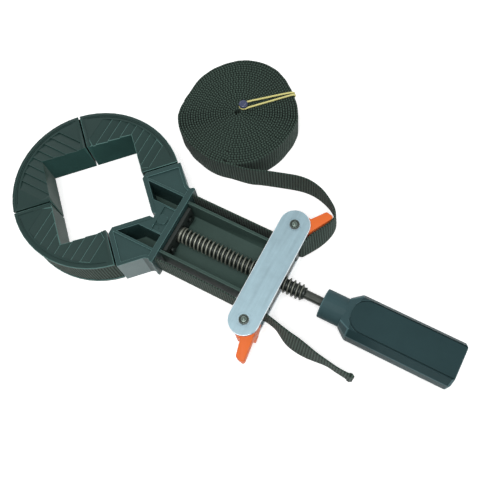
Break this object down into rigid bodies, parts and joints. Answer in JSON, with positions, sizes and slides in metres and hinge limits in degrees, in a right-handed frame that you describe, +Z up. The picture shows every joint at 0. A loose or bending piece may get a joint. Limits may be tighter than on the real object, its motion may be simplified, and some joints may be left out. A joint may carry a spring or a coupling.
{
  "type": "band clamp",
  "caption": "Band clamp with loose corner jaws in a loop of webbing, a screw with a handle, a carriage with cam levers, and the spare webbing in a tied roll.",
  "frame": {"origin": "Middle of the clamp's footprint, on the surface that it lies on.", "axes": "+Z up from the surface, +X from the corner jaws to the handle along the screw, +Y to the side that the roll of webbing lies on."},
  "size_m": [0.3386, 0.2066, 0.0315],
  "materials": {
    "shell": "fine moulded texture",
    "grip": "fine moulded texture, slightly glossy",
    "webbing": "ribbed woven webbing",
    "plate": "zinc plated, satin",
    "lever": "smooth moulded",
    "blackened": "blackened, oiled",
    "rivet": "plain",
    "bright": "bright",
    "brass": "plain",
    "button": "smooth",
    "elastic": "knitted elastic cord"
  },
  "bodies": {
    "clamp_body": {"body_frame": "shell", "corner_jaw_left": "shell", "corner_jaw_far": "shell", "corner_jaw_right": "shell", "thrust_washer": "brass", "bearing_plate": "blackened", "bearing_screw_left": "bright", "bearing_screw_right": "bright", "strap_loop": "webbing", "strap_side_left": "webbing", "strap_side_right": "webbing", "strap_run": "webbing", "strap_roll": "webbing", "roll_button": "button", "elastic_tie": "elastic"},
    "screw": {"spindle": "blackened", "handle": "grip"},
    "carriage": {"carriage_top_plate": "plate", "carriage_bottom_plate": "plate", "carriage_block": "blackened", "carriage_nut": "brass", "strap_anvil_left": "blackened", "strap_anvil_right": "blackened", "lever_pin_left": "rivet", "lever_pin_right": "rivet", "strap_tail": "webbing"},
    "lever_left": {"cam_lever_left": "lever"},
    "lever_right": {"cam_lever_right": "lever"}
  },
  "joints": [
    {"name": "spindle_turn", "type": "hinge", "parent": "clamp_body", "child": "screw", "pos_m": [-0.00775, -0.04097, 0.015], "axis": [1, 0, 0], "range_deg": [-900, 5040]},
    {"name": "carriage_slide", "type": "slide", "parent": "clamp_body", "child": "carriage", "axis": [1, 0, 0], "range_m": [-0.0448, 0.008], "deforming": ["strap_side_left", "strap_side_right", "strap_run"]},
    {"name": "lever_left_swing", "type": "hinge", "parent": "carriage", "child": "lever_left", "pos_m": [0.03275, -0.00357, 0.015], "axis": [0, 0, 1], "range_deg": [0, 50]},
    {"name": "lever_right_swing", "type": "hinge", "parent": "carriage", "child": "lever_right", "pos_m": [0.03275, -0.07837, 0.015], "axis": [0, 0, 1], "range_deg": [-26.6, 23.4]}
  ],
  "couplings": [
    {"joint": "spindle_turn", "follows": "carriage_slide", "rad_per_m": -1963.5}
  ]
}
